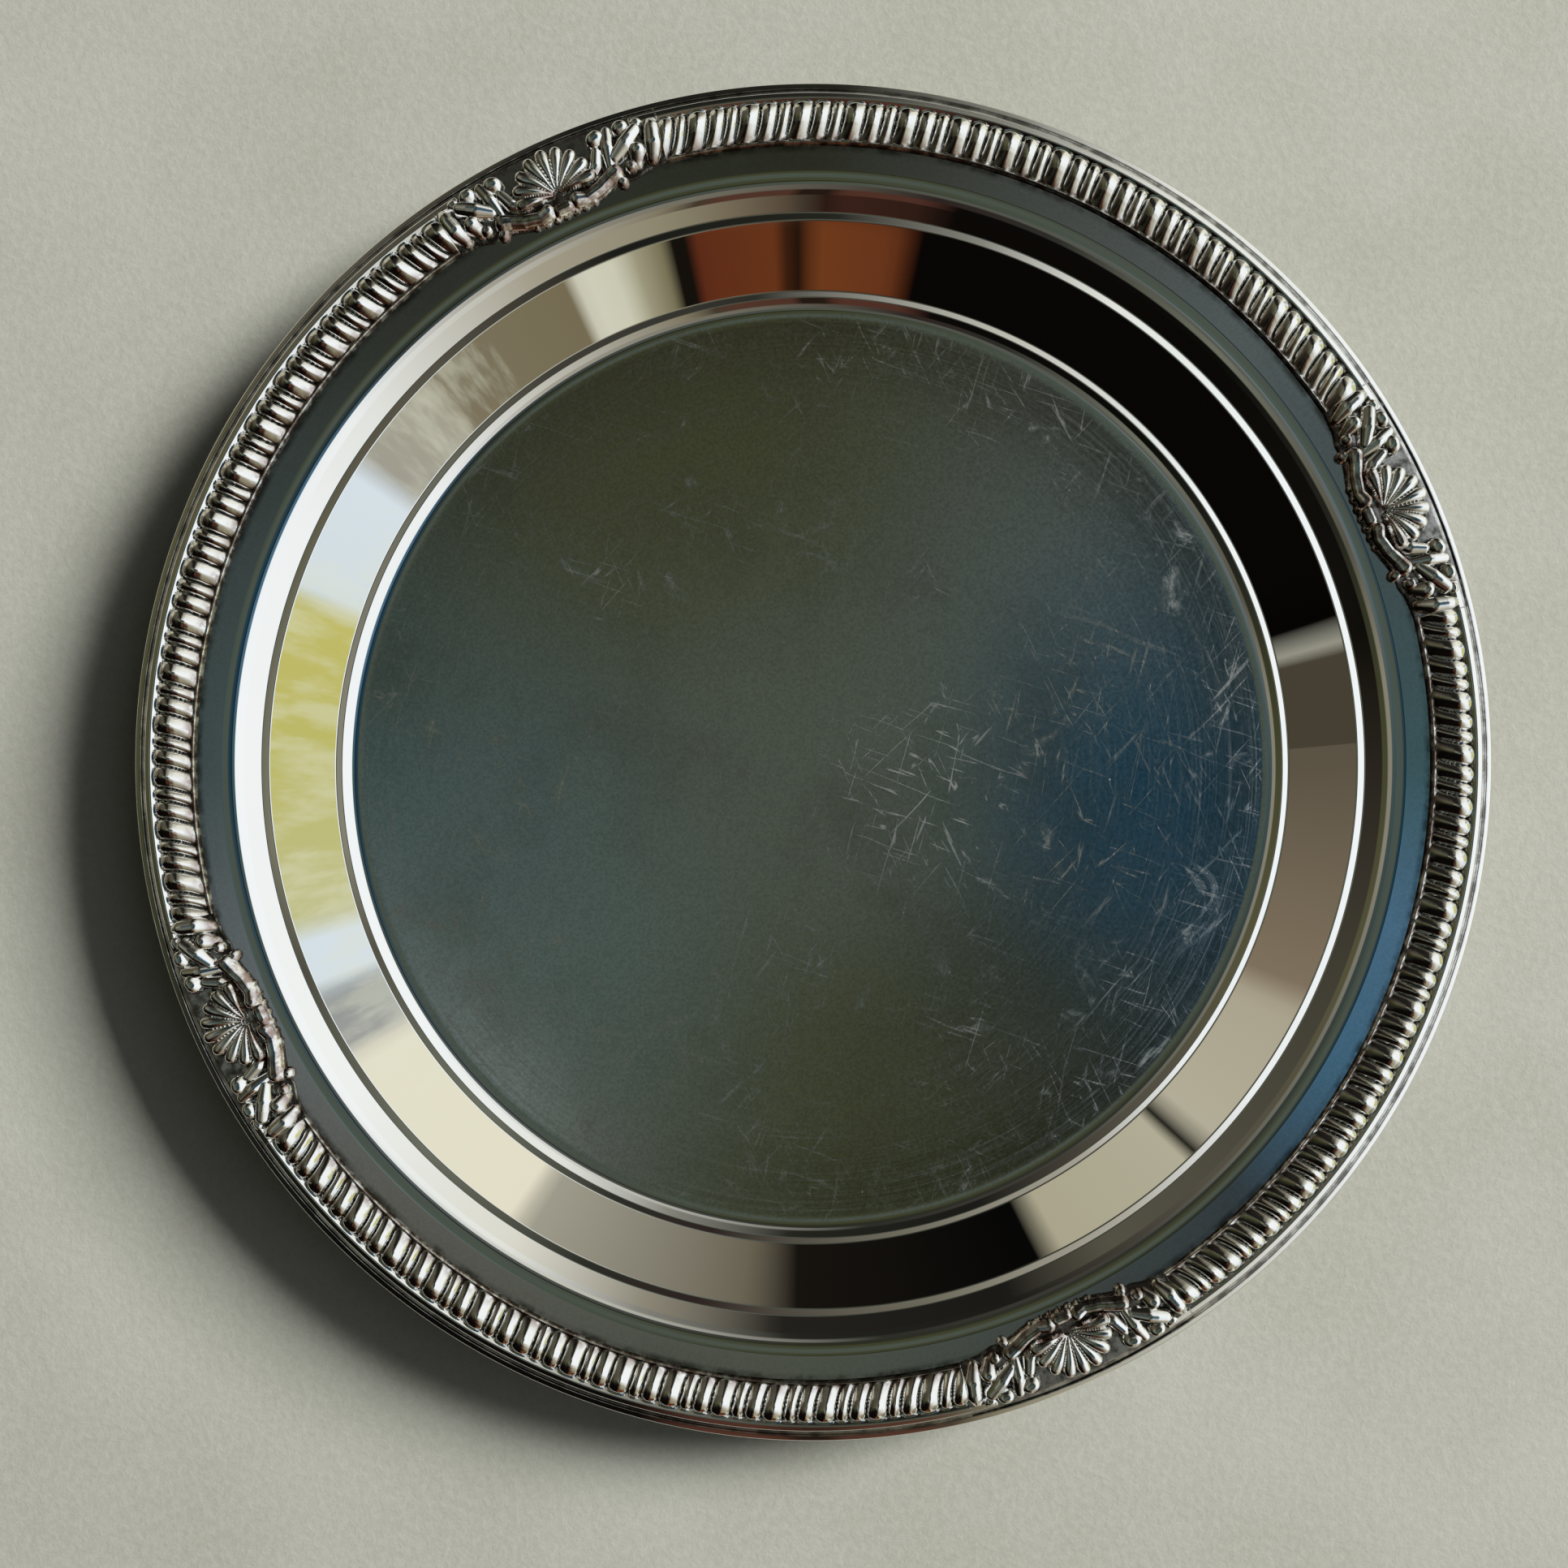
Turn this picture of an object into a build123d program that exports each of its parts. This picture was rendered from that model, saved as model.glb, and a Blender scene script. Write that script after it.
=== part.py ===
from build123d import *
import math
import os

# Round silver-plated tray with a gadroon and shell border.
# Lengths are in millimetres. The Z axis is the tray's axis, Z = 0 is the table,
# and one shell ornament stands on each of the +X, +Y, -X and -Y directions.

# Pressed dish: widths and heights of its upper face, from the edge inwards
sheet = 0.9
tray_radius = 80.0
rim_width = 11.7
shoulder_width = 2.55
ledge_width = 0.95
wall_width = 6.2
foot_ledge_width = 0.6
floor_step_width = 0.7
rim_height = 10.5
shoulder_drop = 2.2
ledge_rise = 0.16
floor_step_height = 0.85
foot_ledge_drop = 0.1
edge_radius = 0.8
hem_width = 2.4

# Dish bends, measured on the upper face, and the facets that stand for their arcs
cove_bend = 2.0
shoulder_bend = 7.0
wide_bend_from = 1.0
bend_facet_count = 2
edge_sides = 8

# Gadroon strip, set in from the tray's edge
shell_count = 4
strip_margin = 1.6
strip_width = 5.8
strip_plate = 0.35
border_height = 2.0
inner_bead_width = 0.6
inner_bead_height = 0.65
reed_width = 1.1
reed_height = 1.1
lobe_groove = 0.1
lobe_triples = 15
lobe_tail_offset = 1.5
strip_clearance = 0.2
cut_overrun = 1.0

# Shell ornament, which laps a little past the strip's width on both sides
ornament_half_width = 12.9
ornament_lap = 0.15
ornament_plate = 0.45
tongue_radius = 4.1
tongue_setback = 2.4
petal_count = 5
petal_length = 2.9
petal_half_width = 0.95
petal_height = 1.0
hinge_setback = 0.6
fan_length = 5.3
fan_rib_count = 9
fan_rib_half_width = 0.85
fan_height = 1.8
bead_pitch = 2.35
bead_half_width = 1.1
bead_height = 1.75
scroll_half_width = 1.15
scroll_height = 1.65

# Lobes come in threes, wide, narrow and medium: their shares of the three's arc
lobe_width_shares = [0.41, 0.255, 0.335]

# Stations of one rounded bud: place along its length, width and rise there
lobe_shares = [(0.0, 0.3), (0.68, 1.0), (1.0, 0.5)]
rib_shares = [(0.0, 0.25), (0.82, 1.0), (1.0, 0.55)]
petal_shares = [(0.3, 1.0), (0.8, 0.8), (1.0, 0.4)]
bead_shares = [(0.0, 0.4), (0.3, 1.0), (0.7, 1.0), (1.0, 0.4)]
arm_shares = [(0.0, 0.45), (0.55, 1.0), (1.0, 0.5)]

# Faceted arch that every bud has as its cross-section
arch_sides = 3

# Sloping side of the strip's fine bead and of its reed, as a share of the width
slope_share = 0.25

# Shift of a lobe's tail, crest and cap, as shares of the end lobe's tail offset
lean_shares = [1.0, 0.15, 0.0]

# Side ribs of the fan are shorter than the middle one
fan_half_angle = 80
side_rib_share = 0.62

# Petals lie under the beads and fan out towards the tray's centre
petal_half_angle = 62

# Scroll buds beside the fan, as shares of the ornament's half width, of the
# border's width and of the thickest bud: start across and out, end across and out
scroll_shares = [
    (0.22, 0.0, 0.4, 0.2, 0.87),
    (0.37, 0.1, 0.5, 0.6, 0.87),
    (0.5, 0.5, 0.44, 0.98, 1.0),
    (0.38, 0.0, 0.64, 0.08, 0.74),
    (0.6, 0.05, 0.78, 0.07, 1.0),
    (0.6, 0.22, 0.66, 0.95, 0.87),
    (0.76, 0.1, 0.9, 0.3, 0.91),
    (0.78, 0.25, 0.82, 0.98, 0.96),
    (0.93, 0.22, 0.92, 0.8, 0.7),
]

# Radii and heights that follow from the widths above
rim_inner_radius = tray_radius - rim_width
shoulder_foot_radius = rim_inner_radius - shoulder_width
wall_top_radius = shoulder_foot_radius - ledge_width
wall_foot_radius = wall_top_radius - wall_width
floor_step_radius = wall_foot_radius - foot_ledge_width
floor_radius = floor_step_radius - floor_step_width
shoulder_foot_height = rim_height - shoulder_drop
wall_top_height = shoulder_foot_height + ledge_rise
floor_step_top = sheet + floor_step_height
wall_foot_height = floor_step_top - foot_ledge_drop
strip_outer_radius = tray_radius - strip_margin
strip_inner_radius = strip_outer_radius - strip_width
lobe_tail_radius = strip_inner_radius + inner_bead_width + lobe_groove
lobe_cap_radius = strip_outer_radius - reed_width - lobe_groove
ornament_outer_radius = strip_outer_radius + ornament_lap
ornament_inner_radius = strip_inner_radius - ornament_lap
hinge_radius = ornament_inner_radius + hinge_setback
border_top = rim_height + border_height
quarter_turn = 360 / shell_count


def faceted(outline):
    """Closed outline with its wide bends drawn as a few facets, the sharp ones as one."""
    points = []
    for edge in outline.order_edges():
        wide_bend = edge.geom_type == GeomType.CIRCLE and edge.radius > wide_bend_from
        facet_count = bend_facet_count if wide_bend else 1
        points += [edge @ (i / facet_count) for i in range(facet_count)]
    return Polyline(*points, close=True)


def dish():
    """Sheet turned about the axis: floor, cove, wall between two fine ledges, rim, edge."""
    edge_centre_radius = tray_radius - edge_radius
    upper_face = FilletPolyline(
        (0, sheet),
        (floor_radius, sheet),
        (floor_step_radius, floor_step_top),
        (wall_foot_radius, wall_foot_height),
        (wall_top_radius, wall_top_height),
        (shoulder_foot_radius, shoulder_foot_height),
        (rim_inner_radius, rim_height),
        (edge_centre_radius, rim_height),
        radius=[cove_bend, 0, 0, 0, 0, shoulder_bend],
    )
    outline = upper_face.wire().offset_2d(sheet, side=Side.RIGHT, closed=True)
    hem = Rectangle(hem_width, 2 * edge_radius, align=(Align.MAX, Align.CENTER))
    half_side_turn = 180 / edge_sides
    bead = RegularPolygon(edge_radius, edge_sides, major_radius=False, rotation=half_side_turn)
    edge = Pos(edge_centre_radius, rim_height - edge_radius) * (bead + hem)
    return revolve(Plane.XZ * (make_face(faceted(outline)) + edge), Axis.Z)


def bud(start, length, half_width, rise, base, shares, shifts):
    """Faceted swelling along +X, from a thin tail over a crest to its cap."""
    corners = []
    arch_angles = [math.pi * i / arch_sides for i in range(arch_sides + 1)]
    arch_top_share = max(math.sin(angle) for angle in arch_angles)
    for (place, size), shift in zip(shares, shifts):
        for angle in arch_angles:
            across = shift + half_width * size * math.cos(angle)
            up = base + rise * size * math.sin(angle) / arch_top_share
            corners.append((start + place * length, across, up))
    return ConvexPolyhedron(corners)


def strip_section():
    """Plate of a border strip with its fine inner bead and its outer reed."""
    bead_end = strip_inner_radius + inner_bead_width
    bead_slope = inner_bead_width * slope_share
    reed_start = strip_outer_radius - reed_width
    reed_slope = reed_width * slope_share
    return make_face(
        Polyline(
            (strip_inner_radius, 0),
            (strip_inner_radius, strip_plate),
            (strip_inner_radius + bead_slope, inner_bead_height),
            (bead_end - bead_slope, inner_bead_height),
            (bead_end, strip_plate),
            (reed_start, strip_plate),
            (reed_start + reed_slope, reed_height),
            (strip_outer_radius - reed_slope, reed_height),
            (strip_outer_radius, 0),
            close=True,
        )
    )


def gadroon_strip():
    """Border length between two ornaments, its lobes leaning towards both ends."""
    end_gap = math.degrees((ornament_half_width + strip_clearance) / strip_inner_radius)
    half_span = quarter_turn / 2 - end_gap
    section = Plane.XZ * Pos(0, rim_height) * strip_section()
    plate = Rot(0, 0, -half_span) * revolve(section, Axis.Z, 2 * half_span)
    triple_angle = 2 * half_span / lobe_triples
    base = rim_height + strip_plate / 2
    lobe_angle = -half_span
    lobes = []
    for width_share in lobe_width_shares * lobe_triples:
        lobe_angle += width_share * triple_angle / 2
        arc = width_share * math.radians(triple_angle) * lobe_cap_radius
        lean = lobe_tail_offset * lobe_angle / half_span
        lobe = bud(
            lobe_tail_radius,
            lobe_cap_radius - lobe_tail_radius,
            (arc - lobe_groove) / 2,
            border_top - base,
            base,
            lobe_shares,
            [lean * share for share in lean_shares],
        )
        lobes.append(Rot(0, 0, lobe_angle) * lobe)
        lobe_angle += width_share * triple_angle / 2
    blank_width = strip_outer_radius - strip_inner_radius + 2 * cut_overrun
    blank_height = border_height + cut_overrun
    blank = Rectangle(blank_width, blank_height, align=Align.MIN)
    blank = Plane.XZ * Pos(strip_inner_radius - cut_overrun, rim_height) * blank
    cut_to_length = Rot(0, 0, -half_span) * revolve(blank, Axis.Z, 2 * half_span)
    return (plate + lobes) & cut_to_length


def ornament_plate_solid():
    """Flat plate under the shell: a piece of the border's ring and a round tongue."""
    half_span = math.degrees(ornament_half_width / strip_inner_radius)
    ring = make_face(
        Polyline(
            (ornament_inner_radius, 0),
            (ornament_outer_radius, 0),
            (ornament_outer_radius, ornament_plate),
            (ornament_inner_radius, ornament_plate),
            close=True,
        )
    )
    section = Plane.XZ * Pos(0, rim_height) * ring
    band = Rot(0, 0, -half_span) * revolve(section, Axis.Z, 2 * half_span)
    tongue = extrude(Circle(tongue_radius), ornament_plate)
    return band + Pos(ornament_inner_radius + tongue_setback, 0, rim_height) * tongue


def shell_ornament():
    """Fan of ribs on its hinge, a row of beads below it and scrolls on both sides."""
    base = rim_height + ornament_plate / 2
    straight = [0, 0, 0, 0]
    parts = []
    for i in range(fan_rib_count):
        across_share = 2 * i / (fan_rib_count - 1) - 1
        length = fan_length * (1 - (1 - side_rib_share) * across_share**2)
        rise = fan_height - ornament_plate / 2
        rib = bud(0, length, fan_rib_half_width, rise, base, rib_shares, straight)
        angle = fan_half_angle * across_share
        parts.append(Pos(hinge_radius, 0, 0) * Rot(0, 0, angle) * rib)
    for i in range(petal_count):
        across_share = 2 * i / (petal_count - 1) - 1
        rise = petal_height - ornament_plate / 2
        petal = bud(0, petal_length, petal_half_width, rise, base, petal_shares, straight)
        angle = math.degrees(math.pi) + petal_half_angle * across_share
        parts.append(Pos(hinge_radius, 0, 0) * Rot(0, 0, angle) * petal)
    for side in (-1, 0, 1):
        rise = bead_height - ornament_plate / 2
        start = ornament_inner_radius - bead_half_width
        bead = bud(start, 2 * bead_half_width, bead_half_width, rise, base, bead_shares, straight)
        parts.append(Pos(0, side * bead_pitch, 0) * bead)
    border_width = ornament_outer_radius - ornament_inner_radius
    for across_0, out_0, across_1, out_1, thickness in scroll_shares:
        start_y = across_0 * ornament_half_width
        start_x = ornament_inner_radius + out_0 * border_width
        run_y = across_1 * ornament_half_width - start_y
        run_x = (out_1 - out_0) * border_width
        length = math.hypot(run_x, run_y)
        half_width = thickness * scroll_half_width
        rise = thickness * (scroll_height - ornament_plate / 2)
        leaf = bud(0, length, half_width, rise, base, arm_shares, straight)
        angle = math.degrees(math.atan2(run_y, run_x))
        placed = Pos(start_x, start_y, 0) * Rot(0, 0, angle) * leaf
        parts.append(placed)
        parts.append(mirror(placed, Plane.XZ))
    return ornament_plate_solid() + parts


nodes = {"dish": dish()}
strip = gadroon_strip()
ornament = shell_ornament()
for number in range(shell_count):
    turn = number * quarter_turn
    nodes[f"shell_ornament_{number + 1}"] = Rot(0, 0, turn) * ornament
    nodes[f"gadroon_strip_{number + 1}"] = Rot(0, 0, turn + quarter_turn / 2) * strip

os.makedirs("parts", exist_ok=True)
for name, shape in nodes.items():
    export_step(shape, f"parts/{name}.step")
    box = shape.bounding_box()
    print(name, len(shape.solids()), "solid", round(shape.volume), "mm3, top", round(box.max.Z, 2))
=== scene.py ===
# %% [markdown]
# # A silver-plated tray with a gadroon and shell border
#
# The tray is one pressed sheet with a stamped border soldered on its rim. The
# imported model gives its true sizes, and this lesson adds what a camera sees: fine
# bends, the carved relief of the border, and silver that has been used and cleaned.

import math

import bmesh
import bpy
import numpy as np
from mathutils import Matrix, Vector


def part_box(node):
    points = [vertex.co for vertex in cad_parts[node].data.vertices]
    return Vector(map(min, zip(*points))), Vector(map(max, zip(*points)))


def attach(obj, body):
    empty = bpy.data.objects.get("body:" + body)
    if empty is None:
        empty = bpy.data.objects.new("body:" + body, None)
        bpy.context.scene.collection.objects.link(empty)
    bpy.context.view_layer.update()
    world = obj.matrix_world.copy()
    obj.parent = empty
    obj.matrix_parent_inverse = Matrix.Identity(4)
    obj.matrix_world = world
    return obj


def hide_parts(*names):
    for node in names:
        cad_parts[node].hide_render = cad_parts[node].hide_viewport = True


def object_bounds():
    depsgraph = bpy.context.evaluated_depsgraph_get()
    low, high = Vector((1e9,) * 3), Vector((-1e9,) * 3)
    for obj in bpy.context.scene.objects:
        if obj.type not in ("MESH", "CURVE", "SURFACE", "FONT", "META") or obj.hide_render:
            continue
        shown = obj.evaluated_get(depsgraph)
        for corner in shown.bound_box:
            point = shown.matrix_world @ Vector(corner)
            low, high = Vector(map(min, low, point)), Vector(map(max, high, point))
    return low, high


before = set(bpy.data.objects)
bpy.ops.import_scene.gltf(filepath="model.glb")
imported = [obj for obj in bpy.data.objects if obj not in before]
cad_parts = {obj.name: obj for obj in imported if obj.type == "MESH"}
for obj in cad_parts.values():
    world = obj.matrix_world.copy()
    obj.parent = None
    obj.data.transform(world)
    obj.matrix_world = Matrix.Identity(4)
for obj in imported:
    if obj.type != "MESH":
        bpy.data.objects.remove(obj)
cad_box = [list(corner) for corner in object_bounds()]

tray_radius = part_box("dish")[1].x
rim_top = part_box("dish")[1].z
border_top = cad_box[1][2]
print("tray radius", round(tray_radius, 4), "rim", round(rim_top, 4), "top", round(border_top, 4))

# %% [markdown]
# ## The sizes that the pieces share
#
# Lengths are in metres; only the patterns in the silver and the shells' strokes are
# in millimetres. The dish's widths are measured from the edge inwards, as a maker
# measures them, so the border and the wall follow the tray's radius.

# %% Sizes of the dish
sheet = 0.0009
rim_width = 0.0116
shoulder_width = 0.00265
ledge_width = 0.00095
wall_width = 0.006
foot_ledge_width = 0.0008
floor_step_width = 0.0013
shoulder_drop = 0.0022
ledge_rise = 0.00016
floor_step_height = 0.00085
foot_ledge_drop = 0.0001
edge_radius = 0.0008
hem_width = 0.0024
cove_bend = 0.0036
shoulder_bend = 0.004
ledge_bend = 0.00022

rim_inner_radius = tray_radius - rim_width
shoulder_foot_radius = rim_inner_radius - shoulder_width
wall_top_radius = shoulder_foot_radius - ledge_width
wall_foot_radius = wall_top_radius - wall_width
floor_step_radius = wall_foot_radius - foot_ledge_width
floor_radius = floor_step_radius - floor_step_width
shoulder_foot_height = rim_top - shoulder_drop
wall_top_height = shoulder_foot_height + ledge_rise
floor_step_top = sheet + floor_step_height
wall_foot_height = floor_step_top - foot_ledge_drop
wall_slope = math.degrees(math.atan2(wall_top_height - wall_foot_height, wall_width))
print("wall slope", round(wall_slope, 1), "degrees")

# %% [markdown]
# ## The camera
#
# The photograph looks straight down from about twenty centimetres. Six rings of the
# tray, measured in it, gave the camera's place, and the small shift puts the rings
# where the photograph has them. The tray stays square to its own axes and the camera
# is turned instead, so that one shell points a little up from the right.

# %% Camera
camera_place = (-0.00686, -0.00633, 0.19534)
camera_tilt = (-0.78, -0.05, -24.2)
camera_shift = 0.0487
sensor_width = 36.0
lens_length = 36.0

camera_data = bpy.data.cameras.new("camera")
camera_data.sensor_width = sensor_width
camera_data.lens = lens_length
camera_data.shift_y = camera_shift
camera = bpy.data.objects.new("camera", camera_data)
camera.location = camera_place
camera.rotation_euler = [math.radians(angle) for angle in camera_tilt]
bpy.context.scene.collection.objects.link(camera)
bpy.context.scene.camera = camera
photo_turn = math.radians(camera_tilt[2])
print("camera", camera_place)

# %% [markdown]
# ## Helpers for materials
#
# A material is a small network of nodes. The first helper adds one node, sets its
# options and fills its sockets with a value or with another node's output. The others
# are short names for the nodes that the finishes use most. Each finish names its
# noises (scale, detail, roughness, distortion), and the spans of a noise that count.

# %% Node helpers
# Most of a noise's values lie in this span
noise_span = (0.3, 0.7)


def add(tree, kind, sockets=None, **options):
    """One node of a tree; each socket gets a value or is linked to an output."""
    node = tree.nodes.new(kind)
    for option, value in options.items():
        setattr(node, option, value)
    for key, value in (sockets or {}).items():
        if isinstance(value, bpy.types.NodeSocket):
            tree.links.new(value, node.inputs[key])
        else:
            node.inputs[key].default_value = value
    return node


def math_node(tree, operation, first, second=0.0, clamp=False):
    """Output of one step of arithmetic."""
    sockets = {0: first, 1: second}
    return add(tree, "ShaderNodeMath", sockets, operation=operation, use_clamp=clamp).outputs[0]


def product(tree, first, second):
    """Output of one value times another."""
    return math_node(tree, "MULTIPLY", first, second)


def noise(tree, place, scale, detail, roughness=0.5, distortion=0.0):
    """Output of a cloudy pattern."""
    sockets = {"Vector": place, "Scale": scale, "Detail": detail}
    sockets.update({"Roughness": roughness, "Distortion": distortion})
    return add(tree, "ShaderNodeTexNoise", sockets).outputs[0]


def turn_place(tree, place, angle):
    """Output of a place turned about the tray's axis."""
    sockets = {"Vector": place, "Angle": angle}
    return add(tree, "ShaderNodeVectorRotate", sockets, rotation_type="Z_AXIS").outputs[0]


def spread(tree, value, low, high, to_low=0.0, to_high=1.0):
    """Output of a smooth map of a value from one range to another."""
    sockets = {"Value": value, "From Min": low, "From Max": high, "To Min": to_low, "To Max": to_high}
    return add(tree, "ShaderNodeMapRange", sockets, interpolation_type="SMOOTHSTEP").outputs[0]


def mix_colour(tree, share, first, second):
    """Output of a colour between two colours."""
    node = add(tree, "ShaderNodeMix", {"Factor": share}, data_type="RGBA")
    for socket, value in ((node.inputs[6], first), (node.inputs[7], second)):
        if isinstance(value, bpy.types.NodeSocket):
            tree.links.new(value, socket)
        else:
            socket.default_value = (*value, 1.0)
    return node.outputs[2]


def new_material(name):
    """A material with only its output and a Principled shader."""
    material = bpy.data.materials.new(name)
    material.use_nodes = True
    tree = material.node_tree
    return material, tree, tree.nodes["Principled BSDF"]


def bump_surface(tree, shader, height, strength, distance):
    """Gives a shader a fine unevenness."""
    sockets = {"Height": height, "Strength": strength, "Distance": distance}
    bump = add(tree, "ShaderNodeBump", sockets)
    tree.links.new(bump.outputs[0], shader.inputs["Normal"])


print("node helpers ready")

# %% [markdown]
# ## The room that the silver reflects
#
# Polished silver has almost no colour of its own, so its look is its room. The
# world is a dim room: a garden window on the right, pale curtains, a red-brown
# curtain, a dark corner and a pale wall. Each band lists its colours by the angle
# at which they stand round the tray, in degrees. The ceiling is three rings round a
# middle colour: the rim shows the outer ring and the floor shows the rest.

# %% Room
floor_ceiling = [
    (0, (0.012, 0.045, 0.075)),
    (22, (0.04, 0.075, 0.095)),
    (45, (0.076, 0.098, 0.091)),
    (90, (0.054, 0.06, 0.03)),
    (135, (0.055, 0.06, 0.031)),
    (180, (0.066, 0.1, 0.1)),
    (225, (0.078, 0.112, 0.102)),
    (270, (0.056, 0.062, 0.031)),
    (315, (0.034, 0.042, 0.032)),
    (342, (0.016, 0.05, 0.08)),
    (360, (0.012, 0.045, 0.075)),
]
edge_ceiling = [
    (0, (0.01, 0.022, 0.03)),
    (45, (0.019, 0.019, 0.011)),
    (90, (0.032, 0.032, 0.016)),
    (135, (0.04, 0.044, 0.026)),
    (180, (0.047, 0.082, 0.078)),
    (202, (0.1, 0.14, 0.135)),
    (225, (0.165, 0.2, 0.19)),
    (252, (0.06, 0.07, 0.05)),
    (270, (0.03, 0.034, 0.014)),
    (315, (0.013, 0.015, 0.008)),
    (360, (0.01, 0.022, 0.03)),
]
rim_ceiling = [
    (0, (0.05, 0.107, 0.122)),
    (22, (0.06, 0.085, 0.09)),
    (45, (0.096, 0.121, 0.124)),
    (65, (0.07, 0.08, 0.075)),
    (90, (0.027, 0.03, 0.02)),
    (135, (0.032, 0.037, 0.031)),
    (180, (0.06, 0.088, 0.091)),
    (202, (0.135, 0.155, 0.165)),
    (225, (0.112, 0.115, 0.101)),
    (270, (0.08, 0.092, 0.073)),
    (315, (0.037, 0.052, 0.061)),
    (331, (0.06, 0.15, 0.24)),
    (346, (0.076, 0.17, 0.27)),
    (360, (0.05, 0.107, 0.122)),
]
ceiling_centre = (0.078, 0.096, 0.076)
ceiling_shift = (-0.0193, -0.0452)
right_low_walls = [
    (0, (0.58, 0.56, 0.17)),
    (19, (0.6, 0.6, 0.3)),
    (21, (0.76, 0.86, 0.95)),
    (26, (0.76, 0.86, 0.93)),
    (27, (0.32, 0.34, 0.34)),
    (33, (0.4, 0.41, 0.4)),
    (34, (0.88, 0.86, 0.7)),
    (57, (0.88, 0.84, 0.68)),
    (58, (0.4, 0.39, 0.32)),
    (82, (0.16, 0.14, 0.1)),
    (87, (0.01, 0.008, 0.006)),
    (113, (0.002, 0.002, 0.002)),
    (115, (0.46, 0.43, 0.31)),
    (131, (0.5, 0.48, 0.36)),
    (132, (0.01, 0.01, 0.007)),
    (133, (0.01, 0.01, 0.007)),
    (134, (0.52, 0.49, 0.38)),
    (150, (0.46, 0.42, 0.32)),
    (153, (0.24, 0.19, 0.13)),
    (178, (0.12, 0.1, 0.07)),
]
left_low_walls = [
    (190, (0.07, 0.06, 0.04)),
    (192, (0.5, 0.5, 0.42)),
    (193, (0.002, 0.001, 0.001)),
    (200, (0.003, 0.002, 0.002)),
    (259, (0.003, 0.002, 0.002)),
    (262, (0.15, 0.04, 0.013)),
    (271, (0.18, 0.05, 0.014)),
    (272, (0.02, 0.008, 0.004)),
    (274, (0.02, 0.008, 0.004)),
    (275, (0.15, 0.04, 0.012)),
    (284, (0.13, 0.03, 0.012)),
    (285, (0.008, 0.006, 0.004)),
    (287, (0.008, 0.006, 0.004)),
    (288, (0.2, 0.18, 0.1)),
    (292, (0.42, 0.4, 0.28)),
    (293, (0.66, 0.66, 0.52)),
    (298, (0.72, 0.72, 0.6)),
    (299, (0.2, 0.17, 0.1)),
    (317, (0.23, 0.2, 0.13)),
    (319, (0.42, 0.4, 0.32)),
    (328, (0.4, 0.39, 0.33)),
    (330, (0.76, 0.86, 0.95)),
    (343, (0.74, 0.84, 0.92)),
    (345, (0.6, 0.57, 0.16)),
    (360, (0.58, 0.56, 0.17)),
]
mid_walls = [
    (0, (1, 1.04, 1.06)),
    (36, (0.98, 1.02, 1.02)),
    (58, (0.8, 0.8, 0.72)),
    (72, (0.3, 0.28, 0.22)),
    (85, (0.02, 0.018, 0.015)),
    (108, (0.012, 0.011, 0.009)),
    (119, (0.1, 0.095, 0.07)),
    (155, (0.06, 0.055, 0.04)),
    (180, (0.02, 0.016, 0.012)),
    (191, (0.003, 0.002, 0.002)),
    (259, (0.004, 0.003, 0.002)),
    (270, (0.03, 0.012, 0.008)),
    (284, (0.3, 0.27, 0.18)),
    (302, (0.4, 0.37, 0.28)),
    (324, (0.86, 0.88, 0.86)),
    (338, (0.98, 1.02, 1.04)),
    (360, (1, 1.04, 1.06)),
]
high_walls = [
    (0, (1.02, 1.06, 1.1)),
    (36, (1, 1.05, 1.08)),
    (58, (0.86, 0.88, 0.84)),
    (72, (0.25, 0.25, 0.22)),
    (86, (0.02, 0.02, 0.016)),
    (108, (0.012, 0.012, 0.01)),
    (130, (0.1, 0.09, 0.07)),
    (155, (0.1, 0.095, 0.05)),
    (180, (0.06, 0.065, 0.03)),
    (202, (0.02, 0.02, 0.015)),
    (223, (0.004, 0.004, 0.003)),
    (256, (0.004, 0.003, 0.003)),
    (260, (0.08, 0.032, 0.022)),
    (268, (0.095, 0.036, 0.024)),
    (270, (0.02, 0.012, 0.008)),
    (273, (0.02, 0.012, 0.008)),
    (274, (0.085, 0.036, 0.024)),
    (282, (0.095, 0.042, 0.028)),
    (284, (0.06, 0.045, 0.03)),
    (288, (0.24, 0.21, 0.14)),
    (310, (0.62, 0.62, 0.56)),
    (328, (0.96, 1, 1.02)),
    (360, (1.02, 1.06, 1.1)),
]
curtain_band = [
    (0, (1.02, 1.06, 1.1)),
    (36, (1, 1.04, 1.06)),
    (65, (0.6, 0.6, 0.54)),
    (94, (0.03, 0.03, 0.025)),
    (119, (0.06, 0.055, 0.045)),
    (133, (0.14, 0.14, 0.11)),
    (166, (0.26, 0.25, 0.2)),
    (184, (0.26, 0.25, 0.19)),
    (198, (0.1, 0.095, 0.07)),
    (223, (0.17, 0.18, 0.14)),
    (245, (0.03, 0.03, 0.025)),
    (259, (0.03, 0.02, 0.018)),
    (288, (0.2, 0.19, 0.15)),
    (310, (0.42, 0.4, 0.34)),
    (328, (0.94, 0.98, 1)),
    (360, (1.02, 1.06, 1.1)),
]
print("room", len(right_low_walls) + len(left_low_walls), "low wall stops")

# %% [markdown]
# ## How the room is put together
#
# A direction's rise chooses the wall band, and its turn chooses the colour in it.
# Higher up, the distance from the ceiling's middle chooses the ring. The silver sees
# the room at full strength. The stone gets less of it, so that the lamp's shadow
# stays deep, and the camera sees a plain backdrop colour.

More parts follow.
